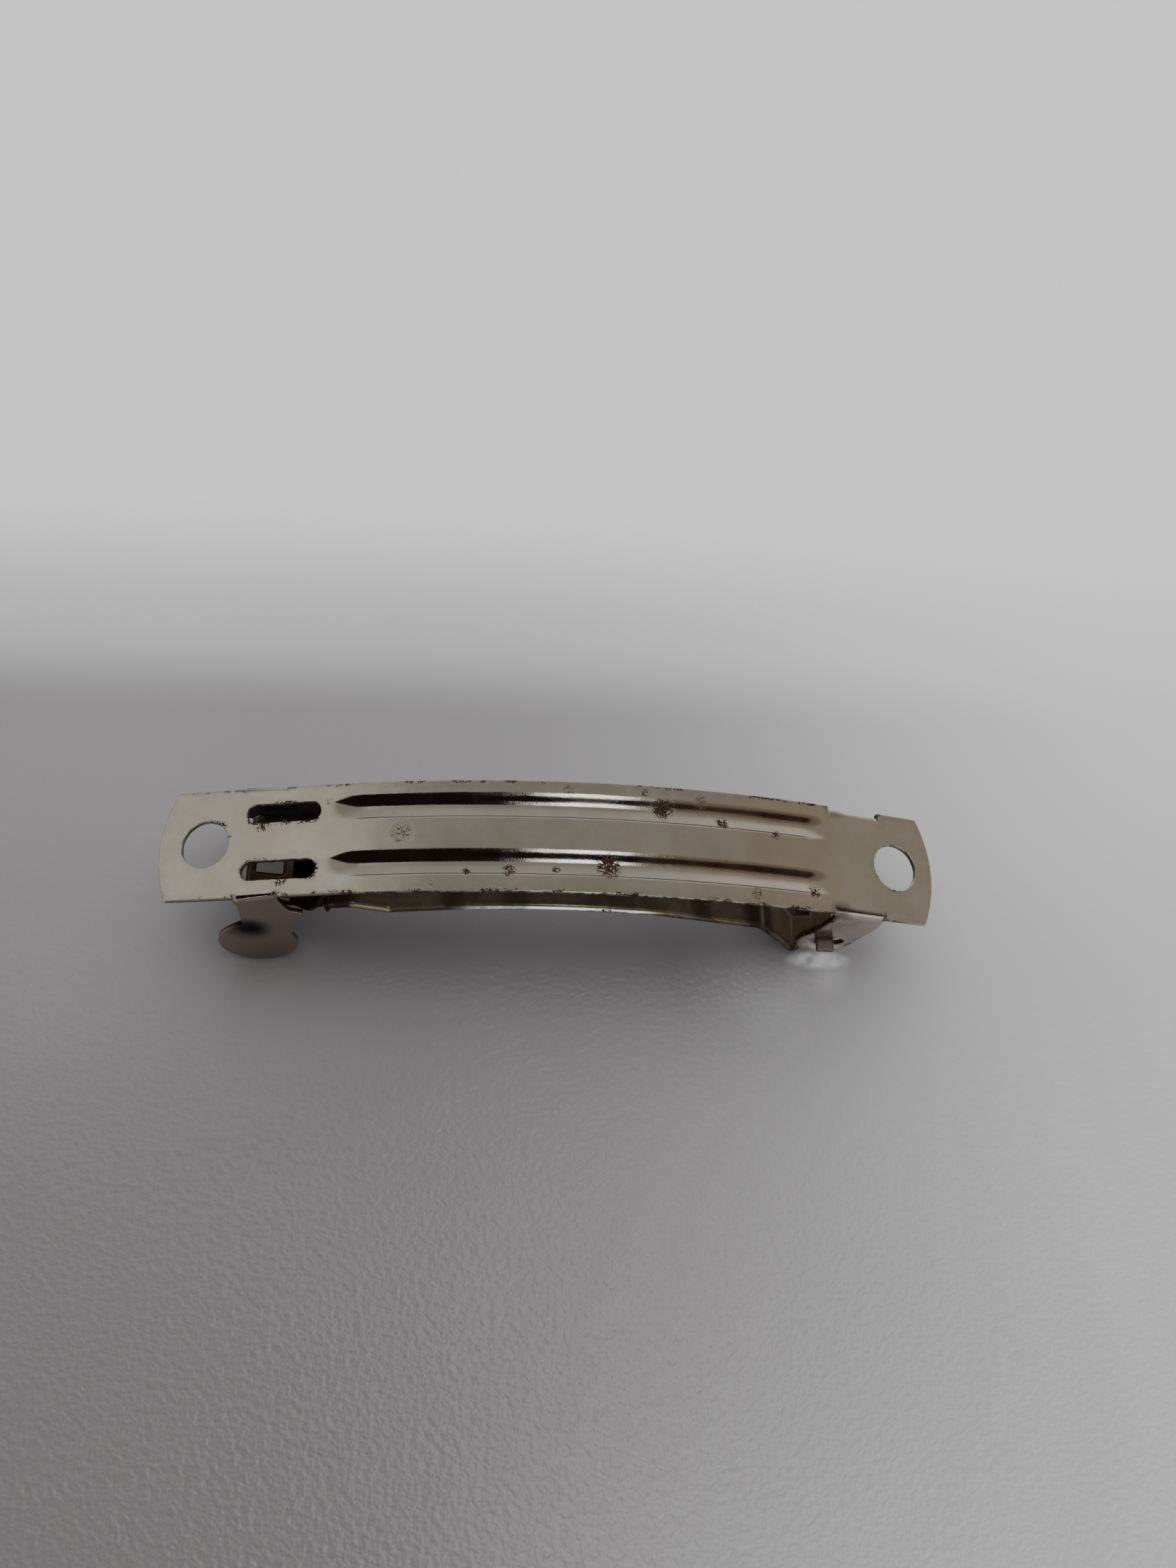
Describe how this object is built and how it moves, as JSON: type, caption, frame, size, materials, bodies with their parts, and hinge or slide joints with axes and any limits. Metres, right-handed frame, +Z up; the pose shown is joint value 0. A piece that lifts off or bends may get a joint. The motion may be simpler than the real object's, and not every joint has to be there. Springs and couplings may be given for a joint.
{
  "type": "french barrette",
  "caption": "Steel French hair clip: bowed base plate with pressed grooves, a sprung tension bar and a hinged clasp arm that snaps shut between thumb paddles.",
  "frame": {"origin": "centre of the overall box at its base, on the surface that the closed clip stands on", "axes": "+X along the plate from the latch to the hinge, +Y across the plate, +Z up out of the bowed top"},
  "size_m": [0.0784, 0.016, 0.0177],
  "materials": {
    "plate_steel": "nickel plating, satin, with specks of rust",
    "arm_steel": "nickel plating, satin, tarnished",
    "bar_steel": "nickel plating, satin, tarnished"
  },
  "bodies": {
    "base": {"base_plate": "plate_steel", "tension_bar": "bar_steel"},
    "arm": {"clasp_arm": "arm_steel"}
  },
  "joints": [
    {"name": "arm_hinge", "type": "hinge", "parent": "base", "child": "arm", "pos_m": [0.0289, 0, 0.00484], "axis": [0, -1, 0], "range_deg": [0, 75]}
  ]
}
